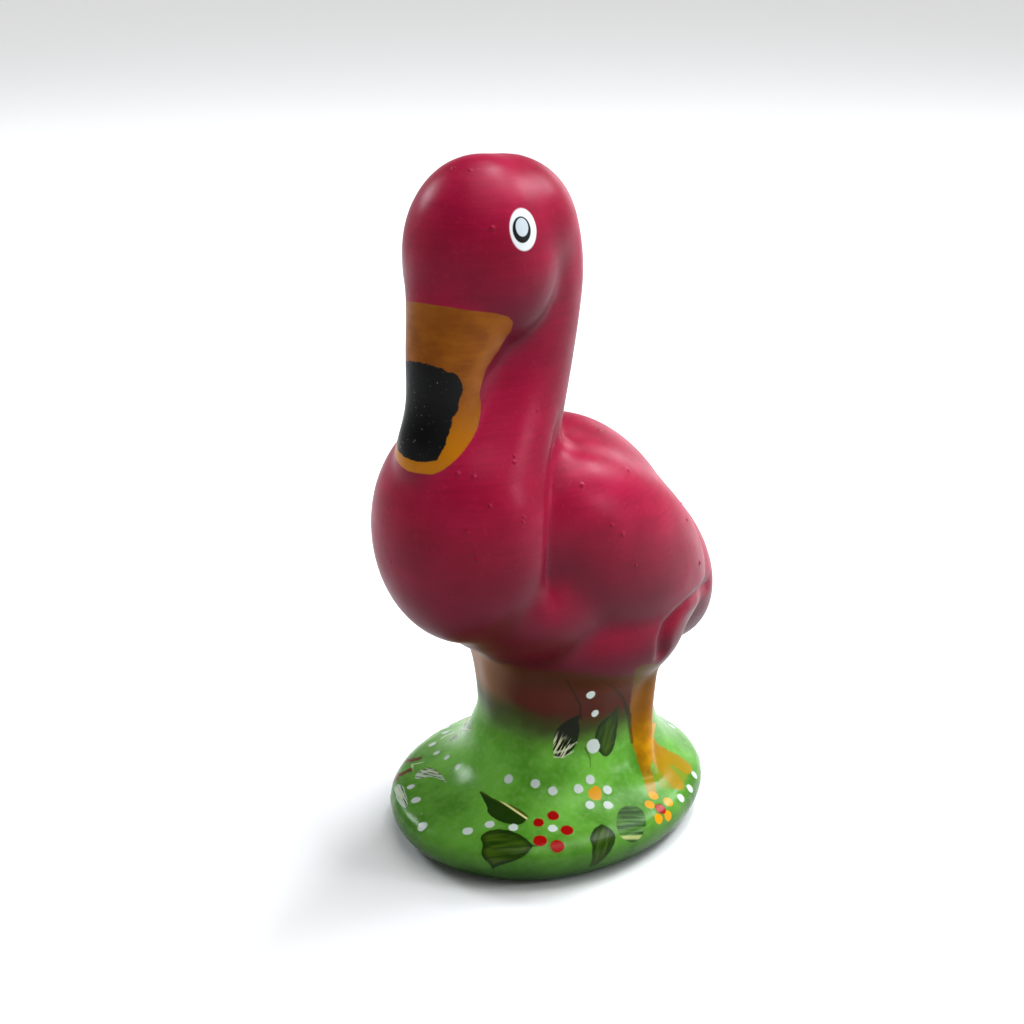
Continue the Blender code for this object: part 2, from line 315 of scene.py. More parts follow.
# Pimples in the clay: those in the picture, their size in metres, the shares of it that their foot and
# their finer skin reach, the sizes they take in turn, and how many more the picture hides
PIMPLES = (
    (537.6, 410.6), (514.6, 456), (514.6, 462), (474, 477), (458, 474), (523.8, 517), (523, 522), (490, 506),
    (467, 532), (582, 485), (390, 562), (476, 560), (612, 525), (622.5, 534), (628, 470), (636, 565),
    (470, 170), (453.5, 167.5), (492.5, 228),
)
PIMPLE_RADIUS = 0.0008
PIMPLE_HEIGHT = 0.00036
PIMPLE_FOOT = 1.3
PIMPLE_PATCH = 1.5
PIMPLE_SIZES = (0.75, 0.875, 1.0, 1.125, 1.25)
HIDDEN_PIMPLES = 18
HIDDEN_DEGREES = (120, 300)
HIDDEN_HEIGHTS = (0.09, 0.25)
SEED = 7

# Paints, as red, green and blue out of 255: bird, base and stump
CRIMSONS = ((146, 14, 51), (167, 23, 66))
WIPED_CRIMSON = (112, 15, 42)
PINK_SPECK = (180, 54, 90)
# Painted shade: the crimson turns toward this where the bird faces sideways and down
PAINTED_SHADE_CRIMSON = (74, 5, 26)
# Painted shade low on the bird, where it meets the stump
THIGH_PAINTED_SHADE = (62, 24, 30)
GREENS = ((90, 153, 46), (119, 184, 71))
GREEN_SPECK = (146, 196, 112)
# Darker green at the base's low edge: partly airbrushed, partly painted shade where the base meets the floor
LOW_GREEN_AND_PAINTED_SHADE = (20, 54, 2)
# The stump's browns, tan to dark: the dark one, toward its middle and the leg, is partly painted shade of
# the body above
BROWNS_AND_PAINTED_SHADE = ((140, 98, 62), (74, 34, 14))
# Maroon on the stump, painted darker as shade of the body above
MAROON_AND_PAINTED_SHADE = (88, 30, 18)
OLIVE_BROWN = (62, 70, 20)

# Paints: leaves, from their dark to their light
OLIVE_PAINT = ((16, 36, 4), (30, 60, 8), (70, 94, 18))
RIBBED_PAINT = ((20, 44, 4), (32, 60, 8), (96, 114, 28), (222, 218, 150))
BARRED_PAINT = ((34, 66, 18), (82, 126, 54), (190, 196, 130))
STREAKED_PAINT = ((14, 22, 5), (210, 210, 172))
WHITE_PAINT = ((40, 62, 22), (84, 104, 24), (190, 204, 188))

# Paints: legs and toes, strokes and dots, bill and eyes
# The leg's browns up under the belly are partly painted shade
LEG_TOP_AND_PAINTED_SHADE = (84, 58, 2)
LEG_BROWN_AND_PAINTED_SHADE = (134, 84, 0)
LEG_YELLOWS = ((176, 116, 0), (208, 148, 4))
TOE_YELLOW = (162, 132, 0)
WEB_OLIVE = (134, 138, 14)
STROKE_BROWN = (30, 24, 8)
STROKE_CREAM = (206, 214, 184)
BERRY_BROWN = (104, 44, 22)
DOT_PAINTS = (("orange", (212, 152, 8)), ("white", (200, 210, 204)), ("red", (160, 14, 12)))
# Painted shade: the bill's darker ochres toward its root
BILL_PAINTED_SHADE_OCHRES = ((126, 68, 0), (142, 82, 0))
BILL_YELLOW = (176, 112, 0)
BILL_BRUSHED = (164, 102, 2)
BILL_BLACKS = ((12, 12, 13), (120, 122, 118))

# Each eye's ovals: middle to the side and up, half sizes to the side and up, and paint
EYE_OVALS = (
    (0.0, -0.0001, 0.0056, 0.0071, (222, 226, 228)),
    (-0.0008, -0.0002, 0.0037, 0.0044, (8, 8, 8)),
    (-0.0007, 0.0006, 0.0026, 0.0031, (196, 204, 210)),
)

# Where paints change, as heights in metres, and the level direction toward the left leg
CRIMSON_FROM = (0.0730, 0.0765)
GREEN_TOP = 0.0535
LEG_WARD = (0.766, 0.643)

# Light: angles round from the front and above the level in degrees, then each sun's strength, and each
# softbox's size and power
SUNS = (("overhead_back", 180, 72, 1.28), ("overhead_front", 85, 68, 0.94))
SUN_SPREAD = math.radians(50)
SUN_DISTANCE = 2.0
SOFTBOX_DISTANCE = 1.6
SOFTBOXES = (
    ("back_softbox", 164, 36, 0.42, 11.0),
    ("top_softbox", -174, 63, 0.26, 9.0),
    ("right_softbox", -82, 30, 0.45, 10.0),
    ("left_softbox", 118, 19, 0.30, 5.0),
    ("low_softbox", -163, 9, 0.55, 2.0),
    ("side_softbox", 143, 54, 0.70, 7.0),
)
SOFTBOX_COLOUR = (0.90, 0.95, 1.0)
HORIZON_STRENGTH = 0.72
SKY_STRENGTH = 0.12
SKY_FADE = (0.12, 0.40)
VIEW_GAMMA = 0.88
FLOOR_HALF = 8.0
FLOOR_GREY = 0.88


def clear(obj):
    bpy.data.objects.remove(obj)


def link(name, mesh):
    obj = bpy.data.objects.new(name, mesh)
    bpy.context.scene.collection.objects.link(obj)
    return obj


def egg(name, middle, radii, tilt=0.0, yaw=0.0):
    """An ellipsoid whose length lies along Y. tilt lifts its rear, and yaw swings its rear towards -X."""
    mesh = bpy.data.meshes.new(name)
    shape = bmesh.new()
    bmesh.ops.create_uvsphere(shape, u_segments=48, v_segments=32, radius=1.0)
    turned = Matrix.Rotation(yaw, 4, "Z") @ Matrix.Rotation(tilt, 4, "X")
    placed = Matrix.Translation(middle) @ turned @ Matrix.Diagonal((*radii, 1.0))
    bmesh.ops.transform(shape, matrix=placed, verts=shape.verts)
    shape.to_mesh(mesh)
    shape.free()
    return link(name, mesh)


def close(mesh):
    shape = bmesh.new()
    shape.from_mesh(mesh)
    bmesh.ops.remove_doubles(shape, verts=shape.verts, dist=1e-5)
    bmesh.ops.recalc_face_normals(shape, faces=shape.faces)
    shape.to_mesh(mesh)
    shape.free()


def limb(name, stations, width=1.0):
    """A round limb along its stations, width times as wide across X as it is deep."""
    curve = bpy.data.curves.new(name, "CURVE")
    curve.dimensions = "3D"
    curve.bevel_depth = 1.0
    curve.bevel_resolution = 5
    curve.resolution_u = 10
    curve.use_fill_caps = True
    spline = curve.splines.new("NURBS")
    spline.points.add(len(stations) - 1)
    for point, (x, y, z, radius) in zip(spline.points, stations):
        point.co = (x / width, y, z, 1.0)
        point.radius = radius
    spline.use_endpoint_u = True
    spline.order_u = 3
    guide = link(name + "_guide", curve)
    mesh = bpy.data.meshes.new_from_object(guide)
    clear(guide)
    mesh.transform(Matrix.Diagonal((width, 1.0, 1.0, 1.0)))
    close(mesh)
    return link(name, mesh)


def base_profile():
    """The base from under its middle, round its edge, over its dome and up the stump's foot."""
    rim = BASE_WIDTH / 2
    edge = rim * BASE_EDGE
    low = BASE_WIDEST_Z - BASE_BOTTOM_Z
    high = BASE_TOP_Z - BASE_WIDEST_Z
    points = [(0.0, BASE_BOTTOM_Z), (rim - edge, BASE_BOTTOM_Z)]
    for step in range(1, 9):
        angle = step * math.pi / 16
        points.append((rim - edge + edge * math.sin(angle), BASE_WIDEST_Z - low * math.cos(angle)))
    steps = 24
    for step in range(1, steps + 1):
        radius = rim - (rim - FOOT_RADIUS) * step / steps
        into_fillet = max(0.0, 1.0 - (radius - FOOT_RADIUS) / FOOT_FILLET)
        dome = high * math.sqrt(1.0 - (radius / rim) ** 2)
        fillet = FOOT_FILLET * (1.0 - math.sqrt(1.0 - into_fillet ** 2))
        points.append((radius, BASE_WIDEST_Z + dome + fillet))
    points.append((0.0, points[-1][1]))
    return points


def base_pebble():
    """The base turned about Z, spread along Y into its oval, its foot moved back under the stump."""
    rim = BASE_WIDTH / 2
    mesh = bpy.data.meshes.new("base")
    shape = bmesh.new()
    rows = [shape.verts.new((radius, 0.0, z)) for radius, z in base_profile()]
    edges = [shape.edges.new(pair) for pair in zip(rows, rows[1:])]
    bmesh.ops.spin(shape, geom=rows + edges, cent=(0, 0, 0), axis=(0, 0, 1), angle=math.tau, steps=72,
                   use_merge=True)
    bmesh.ops.remove_doubles(shape, verts=shape.verts, dist=1e-6)
    bmesh.ops.recalc_face_normals(shape, faces=shape.faces)
    for vertex in shape.verts:
        inward = min(1.0, (rim - math.hypot(vertex.co.x, vertex.co.y)) / (rim - FOOT_RADIUS))
        vertex.co.y *= BASE_LENGTH / BASE_WIDTH
        if vertex.co.z > BASE_WIDEST_Z:
            vertex.co.y += FOOT_SHIFT * inward * inward * (3.0 - 2.0 * inward)
    shape.to_mesh(mesh)
    shape.free()
    return link("base", mesh)


def fuse(name, target, others, voxel, passes):
    """Joins the forms into one skin and softens the seams between them."""
    for other in others:
        join = target.modifiers.new("join_" + other.name, "BOOLEAN")
        join.operation = "UNION"
        join.solver = "EXACT"
        join.object = other
    skin = target.modifiers.new("skin", "REMESH")
    skin.mode = "VOXEL"
    skin.voxel_size = voxel
    soften = target.modifiers.new("soften", "SMOOTH")
    soften.factor = 0.5
    soften.iterations = passes
    mesh = bpy.data.meshes.new_from_object(target.evaluated_get(bpy.context.evaluated_depsgraph_get()))
    for old in [target, *others]:
        clear(old)
    return link(name, mesh)


def mirrored(middle, side):
    return (middle[0] * side, *middle[1:])


def core():
    """The base, stump, body, thighs, wings, chest, neck and bill, which run softly into each other."""
    forms = [
        limb("column", COLUMN, COLUMN_WIDTH),
        egg("body", BODY_MIDDLE, BODY_RADII, BODY_TILT),
        egg("belly", BELLY_MIDDLE, BELLY_RADII, BELLY_TILT),
        egg("chest", CHEST_MIDDLE, CHEST_RADII),
        limb("neck", NECK),
        egg("throat", THROAT_MIDDLE, THROAT_RADII),
        egg("crown", CROWN_MIDDLE, CROWN_RADII),
        egg("skull", SKULL_MIDDLE, SKULL_RADII),
        limb("bill", BILL),
    ]
    for side, name in ((1, "left"), (-1, "right")):
        forms.append(egg(name + "_wing", mirrored(WING_MIDDLE, side), WING_RADII, WING_TILT))
        forms.append(egg(name + "_thigh", mirrored(THIGH_MIDDLE, side), THIGH_RADII, 0.0, THIGH_YAW * side))
    return fuse("core", base_pebble(), forms, CORE_VOXEL, CORE_PASSES)


def details():
    """The head, bill end, rump and legs, whose outlines read as creases on the core."""
    forms = [
        egg("head", HEAD_MIDDLE, HEAD_RADII),
        egg("bill_end", BILL_END_MIDDLE, BILL_END_RADII),
        egg("rump", RUMP_MIDDLE, RUMP_RADII, RUMP_TILT),
    ]
    for side, name in ((1, "left"), (-1, "right")):
        forms.append(limb(name + "_leg", [mirrored(station, side) for station in LEG]))
    return forms


def folded(points):
    """The points with the bird's right side laid over its left."""
    return np.abs(points * (1, 0, 0)) + points * (0, 1, 1)


def points_and_normals(mesh):
    points = np.empty(len(mesh.vertices) * 3, np.float32)
    normals = np.empty(len(mesh.vertices) * 3, np.float32)
    mesh.vertices.foreach_get("co", points)
    mesh.vertex_normals.foreach_get("vector", normals)
    return points.reshape(-1, 3).astype(float), normals.reshape(-1, 3)


def beside(points, start, end):
    """How far along a line each point is, as a share of it, and how far from it."""
    along = end - start
    share = np.clip((points - start) @ along / (along @ along), 0.0, 1.0)
    return share, np.linalg.norm(points - start - share[:, None] * along, axis=1)


def press(mesh, path, width):
    """Presses a soft groove into the skin along a path, and along its mirror image."""
    points, normals = points_and_normals(mesh)
    one_side = folded(points)
    drop = np.zeros(len(points))
    for start, end in zip(path, path[1:]):
        start, end = np.array(start), np.array(end)
        share, distance = beside(one_side, start[:3], end[:3])
        depth = start[3] + (end[3] - start[3]) * share
        drop = np.maximum(drop, depth * np.clip(1.0 - distance / width, 0.0, 1.0) ** GROOVE_SHARPNESS)
    mesh.vertices.foreach_set("co", (points - normals * drop[:, None]).astype(np.float32).ravel())
    mesh.update()


def cut_underside(shape):
    """Cuts the base off at z = 0 and closes it with a flat face."""
    everything = shape.verts[:] + shape.edges[:] + shape.faces[:]
    cut = bmesh.ops.bisect_plane(shape, geom=everything, dist=1e-6, plane_co=(0, 0, 0),
                                 plane_no=(0, 0, 1), clear_inner=True)
    rim = [edge for edge in cut["geom_cut"] if isinstance(edge, bmesh.types.BMEdge)]
    bmesh.ops.contextual_create(shape, geom=rim)
    bmesh.ops.recalc_face_normals(shape, faces=shape.faces)


def finish_underside(piece):
    """Cuts the underside and shades all but its flat face smooth."""
    shape = bmesh.new()
    shape.from_mesh(piece.data)
    cut_underside(shape)
    for face in shape.faces:
        face.smooth = face.normal.z > -0.999 or face.calc_center_median().z > 0.001
    shape.to_mesh(piece.data)
    shape.free()


def refine(piece, chosen, cuts):
    """Cuts the faces at the chosen points finer, then rounds them again."""
    shape = bmesh.new()
    shape.from_mesh(piece.data)
    patch = [face for face in shape.faces if any(chosen[vertex.index] for vertex in face.verts)]
    edges = {edge for face in patch for edge in face.edges}
    kept = {vertex for face in patch for vertex in face.verts}
    made = bmesh.ops.subdivide_edges(shape, edges=[edge for edge in shape.edges if edge in edges], cuts=cuts,
                                     use_grid_fill=True)
    kept.update(item for item in made["geom_inner"] if isinstance(item, bmesh.types.BMVert))
    kept = [vertex for vertex in shape.verts if vertex in kept]
    for _ in range(2 * cuts):
        bmesh.ops.smooth_vert(shape, verts=kept, factor=0.5, use_axis_x=True, use_axis_y=True,
                              use_axis_z=True)
    shape.to_mesh(piece.data)
    shape.free()


# Camera, and places in its picture


def outward(azimuth, elevation):
    """The direction at an angle round from the front and an angle above the level."""
    level = math.cos(elevation)
    return Vector((math.sin(azimuth) * level, -math.cos(azimuth) * level, math.sin(elevation)))


def camera_axes():
    """The camera's directions to its right, up and back."""
    back = outward(CAMERA_AZIMUTH, CAMERA_ELEVATION)
    right = Vector((math.cos(CAMERA_AZIMUTH), math.sin(CAMERA_AZIMUTH), 0.0))
    return right, back.cross(right), back


def make_camera():
    right, up, back = camera_axes()
    data = bpy.data.cameras.new("camera")
    data.lens = CAMERA_LENS
    data.sensor_width = CAMERA_SENSOR
    data.shift_x, data.shift_y = CAMERA_SHIFT
    data.clip_start = 0.01
    camera = link("camera", data)
    turn = Matrix((right, up, back)).transposed().to_4x4()
    camera.matrix_world = Matrix.Translation(CAMERA_TARGET + back * CAMERA_DISTANCE) @ turn
    bpy.context.scene.camera = camera


def picture_places(points):
    """How far across and down the picture each point falls."""
    right, up, back = (np.array(axis) for axis in camera_axes())
    away = points - np.array(CAMERA_TARGET) - back * CAMERA_DISTANCE
    scale = PICTURE_SCALE / -(away @ back)
    return PICTURE_MIDDLE[0] + scale * (away @ right), PICTURE_MIDDLE[1] - scale * (away @ up)


def outline_distance(x, y, corners):
    """How far each flat point is outside a closed outline, below zero inside it."""
    corners = np.array(corners, float)
    inside = np.zeros(len(x), bool)
    nearest = np.full(len(x), np.inf)
    for (x1, y1), (x2, y2) in zip(corners, np.roll(corners, -1, axis=0)):
        dx, dy = x2 - x1, y2 - y1
        length = dx * dx + dy * dy
        if length == 0.0:
            continue
        share = np.clip(((x - x1) * dx + (y - y1) * dy) / length, 0.0, 1.0)
        nearest = np.minimum(nearest, np.hypot(x - x1 - share * dx, y - y1 - share * dy))
        if y1 != y2:
            inside ^= ((y1 > y) != (y2 > y)) & (x < x1 + (y - y1) * dx / dy)
    return np.where(inside, -nearest, nearest)


def rounded(corners):
    """Cuts the corners of a closed outline once. A corner that is given twice stays sharp."""
    corners = np.array(corners, float)
    following = np.roll(corners, -1, axis=0)
    pairs = np.stack((corners * 0.75 + following * 0.25, corners * 0.25 + following * 0.75), axis=1)
    return pairs.reshape(-1, 2)


class Skin:
    """The casting's mesh as arrays, and the points of the picture found on it."""

    def __init__(self, piece):
        self.mesh = piece.data
        self.points, self.normals = points_and_normals(self.mesh)
        self.across, self.down = picture_places(self.points)
        faces = [face.vertices for face in self.mesh.polygons]
        self.tree = BVHTree.FromPolygons([vertex.co for vertex in self.mesh.vertices], faces)
        self.fields = {}

    def seen(self, across, down):
        """The place on the casting, and its normal, at a point of the picture."""
        right, up, back = camera_axes()
        x = (across - PICTURE_MIDDLE[0]) / PICTURE_SCALE
        y = (PICTURE_MIDDLE[1] - down) / PICTURE_SCALE
        direction = (right * x + up * y - back).normalized()
        return self.cast(CAMERA_TARGET + back * CAMERA_DISTANCE, direction)

    def around(self, degrees, height):
        """The place on the casting, and its normal, at a height and an angle round from the front."""
        away = outward(math.radians(degrees), 0.0)
        return self.cast(Vector((0.0, 0.0, height)) + away * 0.3, -away)

    def cast(self, start, direction):
        """Where a ray meets the casting, or the nearest place to it if it misses."""
        place, normal, _, _ = self.tree.ray_cast(start, direction)
        if place is None:
            place, normal, _, _ = self.tree.find_nearest(start + direction * CAMERA_DISTANCE)
        return np.array(place), np.array(normal)

    def field(self, name, value=FAR):
        """A layer of paint, which starts with the same value everywhere."""
        if name not in self.fields:
            self.fields[name] = np.full(len(self.points), value)
        return self.fields[name]

    def stamp(self, name, distance):
        """Adds a mark to a layer of paint, given how far each point is outside it."""
        np.minimum(self.field(name), distance, out=self.field(name))

    def near(self, place):
        """How far each point is from a place."""
        return np.linalg.norm(self.points - place, axis=1)

    def store(self):
        """Keeps the layers of paint on the mesh for the material."""
        for name, values in self.fields.items():
            layer = self.mesh.attributes.new(name, "FLOAT", "POINT")
            layer.data.foreach_set("value", values.astype(np.float32))


def stroke(skin, name, places, widths):
    """A painted line through the places, with its width at each."""
    for start, end, first, last in zip(places, places[1:], widths, widths[1:]):
        share, distance = beside(skin.points, start, end)
        skin.stamp(name, distance - (first + (last - first) * share) / 2)


def lay_leaf(skin, distance, along, across, kind):
    """Adds a leaf, with places along and across it for its streaks, a little beyond its edge."""
    nearer = distance < np.minimum(skin.field("leaf"), LEAF_MARGIN)
    skin.stamp("leaf", distance)
    for name, values in (("leaf_along", along), ("leaf_across", across), ("leaf_kind", kind + 0.0 * along)):
        skin.field(name, 0.0)[nearer] = values[nearer]


def picture_leaf(skin, corners, stem, tip, kind):
    """A leaf painted inside its outline in the picture."""
    centre = np.mean(corners, axis=0)
    middle = skin.seen(*centre)[0]
    metres = np.linalg.norm(middle - skin.seen(*stem)[0]) / math.dist(centre, stem)
    outside = outline_distance(skin.across, skin.down, rounded(rounded(corners))) * METRES_PER_PIXEL
    distance = np.maximum(outside, skin.near(middle) - LEAF_REACH * metres)
    axis = np.subtract(tip, stem)
    length = np.hypot(*axis)
    axis = axis / length
    offset = np.stack((skin.across - stem[0], skin.down - stem[1]), axis=1)
    along = offset @ axis / length
    across = offset @ np.array((-axis[1], axis[0])) / length
    lay_leaf(skin, distance, along, across, kind)


def level_and_upward(normal):
    """The level and the uphill direction on the skin where it faces along normal."""
    level = np.cross((0.0, 0.0, 1.0), normal)
    level /= np.linalg.norm(level)
    return level, np.cross(normal, level)


def back_flower(skin, degrees, height, petals, heart, radius):
    """A flower of dots on a side that the picture doesn't show."""
    middle, normal = skin.around(degrees, height)
    level, upward = level_and_upward(normal)
    skin.stamp(heart, skin.near(middle) - radius)
    for petal in range(PETALS):
        angle = FIRST_PETAL + math.tau * petal / PETALS
        away = level * math.cos(angle) + upward * math.sin(angle)
        place = middle + away * radius * PETAL_DISTANCE
        skin.stamp(petals, skin.near(place) - radius * PETAL_SIZE)


def back_leaf(skin, degrees, height, length, width, turn, kind):
    """A pointed leaf on a side that the picture doesn't show, turned from upright by turn degrees."""
    middle, normal = skin.around(degrees, height)
    level, upward = level_and_upward(normal)
    angle = math.radians(turn)
    axis = upward * math.cos(angle) + level * math.sin(angle)
    side = np.cross(normal, axis)
    offset = skin.points - middle
    along = offset @ axis / length + 0.5
    across = offset @ side / length
    bend = LEAF_BEND * np.sin(np.clip(along, 0.0, 1.0) * math.pi)
    shape = np.clip(along * (1.0 - along) * 4.0, 0.0, 1.0) ** 0.75 * (1.15 - 0.3 * along)
    outside = np.abs(across - bend) * length - shape * width / 2
    beyond = (np.abs(along - 0.5) - 0.5) * length
    distance = np.maximum(np.maximum(outside, beyond), np.abs(offset @ normal) - LEAF_DEPTH)
    lay_leaf(skin, distance, along, across - bend, kind)


def mirrored_place(place):
    """A mark's place on the hidden right side, or None where the picture shows that side itself."""
    if math.atan2(place[0], -place[1]) < MIRROR_FROM:
        return None
    return place * (-1, 1, 1)


def paint_legs(skin):
    """The left leg, its toes and their web as the picture shows them, and the same on the right side."""
    one_side = folded(skin.points)
    across, down = picture_places(one_side)
    away = np.min([np.linalg.norm(one_side - skin.seen(*place)[0], axis=1) for place in LEG_PLACES], axis=0)
    for name, corners in (("leg", LEG_OUTLINE), ("web", WEB_OUTLINE)):
        outside = outline_distance(across, down, rounded(corners)) * METRES_PER_PIXEL
        skin.stamp(name, np.maximum(outside, away - LEG_REACH))


def paint_marks(skin):
    """Dots, strokes and leaves. Small marks are measured in the layers that mark_points reads."""
    seen_dots = (("white", WHITE_DOTS), ("red", RED_DOTS), ("orange", ORANGE_DOTS), ("berry", BERRY_DOTS))
    for name, dots in seen_dots:
        for across, down, radius in dots:
            place = skin.seen(across, down)[0]
            skin.stamp(name, skin.near(place) - radius)
            if mirrored_place(place) is not None:
                skin.stamp(name, skin.near(mirrored_place(place)) - radius)
    for degrees, height, radius in BACK_WHITE_DOTS:
        skin.stamp("white", skin.near(skin.around(degrees, height)[0]) - radius)
    for flower in BACK_FLOWERS:
        back_flower(skin, *flower)
    for name, strokes in (("dark", DARK_STROKES_AND_PAINTED_SHADOW), ("pale", PALE_STROKES)):
        for places, widths in strokes:
            stroke(skin, name, [skin.seen(*place)[0] for place in places], widths)
    paint_legs(skin)
    for leaf in LEAVES:
        picture_leaf(skin, *leaf)
    for leaf in BACK_LEAVES:
        back_leaf(skin, *leaf)


def paint_bill(skin):
    """The bill's yellow and black, from the side view, a little lower on the bird's right."""
    y = skin.points[:, 1]
    rise = np.clip((skin.points[:, 2] - BILL_END_Z) / (BILL_ROOT_Z - BILL_END_Z), 0.0, 1.0)
    slant = BILL_END_SLANT + (BILL_ROOT_SLANT - BILL_END_SLANT) * rise
    z = skin.points[:, 2] + slant * np.maximum(0.0, -skin.points[:, 0])
    for name, edge in (("bill", BILL_EDGE), ("black", BLACK_EDGE)):
        corners = [tuple(skin.seen(*place)[0][1:]) for place in edge]
        corners += [(BILL_FRONT_Y, corners[-1][1]), (BILL_FRONT_Y, corners[0][1])]
        skin.fields[name] = outline_distance(y, z, corners)


def paint_eyes(skin):
    """Lays a flat place across and up each eye, measured from its middle."""
    middle, normal = skin.seen(*EYE_PLACE)
    across, down = EYE_PLACE
    side = skin.seen(across + EYE_STEP, down)[0] - skin.seen(across - EYE_STEP, down)[0]
    side /= np.linalg.norm(side)
    up = np.cross(normal, side)
    up = up / np.linalg.norm(up)
    offset = folded(skin.points) - middle
    skin.fields["eye_side"] = offset @ side
    skin.fields["eye_up"] = offset @ up


def paint(skin):
    """Lays every layer of paint on the skin. The last is how far each point faces down, for the painted
    shade on the bird.
    """
    paint_marks(skin)
    paint_bill(skin)
    paint_eyes(skin)
    # How far each point faces down, which sets the painted shade on the bird
    skin.fields["under"] = -skin.normals[:, 2]


def mark_points(skin):
    """The points at small marks and at the edges of large ones."""
    chosen = np.zeros(len(skin.points), bool)
    for name in ("white", "red", "orange", "berry", "dark", "pale"):
        chosen |= skin.fields[name] < MARK_MARGIN
    for name in ("bill", "black", "leg", "leaf"):
        chosen |= np.abs(skin.fields[name]) < MARK_MARGIN
    return chosen


def pimple_places(skin):
    """The pimples that the picture shows, then others at random on the sides that it hides."""
    draw = random.Random(SEED)
    places = [skin.seen(*place)[0] for place in PIMPLES]
    for _ in range(HIDDEN_PIMPLES):
        degrees = draw.uniform(*HIDDEN_DEGREES)
        places.append(skin.around(degrees, draw.uniform(*HIDDEN_HEIGHTS))[0])
    return places


def raise_pimples(piece, places):
    """Small bumps in the clay, on a finer skin of their own."""
    skin = Skin(piece)
    nearest = np.min([skin.near(place) for place in places], axis=0)
    refine(piece, nearest < PIMPLE_PATCH * PIMPLE_RADIUS, PIMPLE_CUTS)
    skin = Skin(piece)
    rise = np.zeros(len(skin.points))
    for index, place in enumerate(places):
        size = PIMPLE_SIZES[index % len(PIMPLE_SIZES)]
        share = np.clip(skin.near(place) / (PIMPLE_RADIUS * size * PIMPLE_FOOT), 0.0, 1.0)
        rise = np.maximum(rise, PIMPLE_HEIGHT * size * (1.0 - share ** 2) ** 2)
    moved = skin.points + skin.normals * rise[:, None]
    piece.data.vertices.foreach_set("co", moved.astype(np.float32).ravel())
    piece.data.update()


# Materials


def linear_light(paint):
    """A paint's red, green and blue out of 255 as Blender's linear colour."""
    shares = [value / 255 for value in paint]
    linear = [share / 12.92 if share < 0.04 else ((share + 0.055) / 1.055) ** 2.4 for share in shares]
    return (*linear, 1.0)


class Nodes:
    """Short names for building a material's nodes."""

    def __init__(self, name):
        self.material = bpy.data.materials.new(name)
        self.material.use_nodes = True
        self.tree = self.material.node_tree
        self.tree.nodes.clear()

    def add(self, kind, inputs=None, **settings):
        node = self.tree.nodes.new(kind)
        for key, value in settings.items():
            setattr(node, key, value)
        for key, value in (inputs or {}).items():
            self.put(node.inputs[key], value)
        return node

    def put(self, socket, value):
        if isinstance(value, bpy.types.NodeSocket):
            self.tree.links.new(value, socket)
        else:
            socket.default_value = value

    def layer(self, name):
        """A layer of paint that Skin.store kept on the mesh."""
        return self.add("ShaderNodeAttribute", attribute_name=name).outputs["Fac"]

    def math(self, operation, a, b=0.0, c=0.0):
        node = self.add("ShaderNodeMath", operation=operation)
        for socket, value in zip(node.inputs, (a, b, c)):
            self.put(socket, value)
        return node.outputs[0]

    def fade(self, value, low, high, first=0.0, last=1.0):
        """Runs smoothly from first to last while value runs from low to high."""
        node = self.add("ShaderNodeMapRange", interpolation_type="SMOOTHSTEP")
        for socket, given in zip(node.inputs, (value, low, high, first, last)):
            self.put(socket, given)
        return node.outputs[0]

    def noise(self, vector, scale, detail):
        return self.add("ShaderNodeTexNoise", {"Vector": vector, "Scale": scale, "Detail": detail,
                                               "Roughness": 0.5}).outputs["Fac"]

    def mix(self, amount, first, second):
        """The first paint or colour with an amount of the second over it."""
        node = self.add("ShaderNodeMix", data_type="RGBA")
        self.put(node.inputs[0], amount)
        for socket, colour in ((node.inputs[6], first), (node.inputs[7], second)):
            self.put(socket, linear_light(colour) if isinstance(colour, tuple) else colour)
        return node.outputs[2]

    def spread(self, value, width):
        """Turns a value from 0 to 1 into one from -width to width."""
        return self.math("MULTIPLY_ADD", value, 2 * width, -width)

    def toward_leg(self, x, y):
        """How far a place is toward the left leg."""
        return self.plus(self.times(x, LEG_WARD[0]), self.times(y, LEG_WARD[1]))

    def stretch(self, vector, scale):
        return self.add("ShaderNodeMapping", {"Vector": vector, "Scale": scale}).outputs[0]

    def join(self, x, y, z):
        return self.add("ShaderNodeCombineXYZ", {"X": x, "Y": y, "Z": z}).outputs[0]

    def times(self, first, second):
        return self.math("MULTIPLY", first, second)

    def plus(self, first, second):
        return self.math("ADD", first, second)

    def nearly(self, value, target):
        """1 where value is near target, and 0 elsewhere."""
        return self.fade(self.math("ABSOLUTE", self.plus(value, -target)), 0.3, 0.5, 1.0, 0.0)

    def inside(self, layer, wander=0.0, amount=1.0, soft=0.00025):
        """The amount inside a layer's marks, with their edge moved by wander."""
        return self.fade(self.plus(self.layer(layer), wander), -soft, soft, amount, 0.0)

    def finish(self, inputs):
        """Ends the material in one shader with these inputs."""
        shader = self.add("ShaderNodeBsdfPrincipled", inputs)
        output = self.add("ShaderNodeOutputMaterial")
        self.tree.links.new(shader.outputs[0], output.inputs[0])


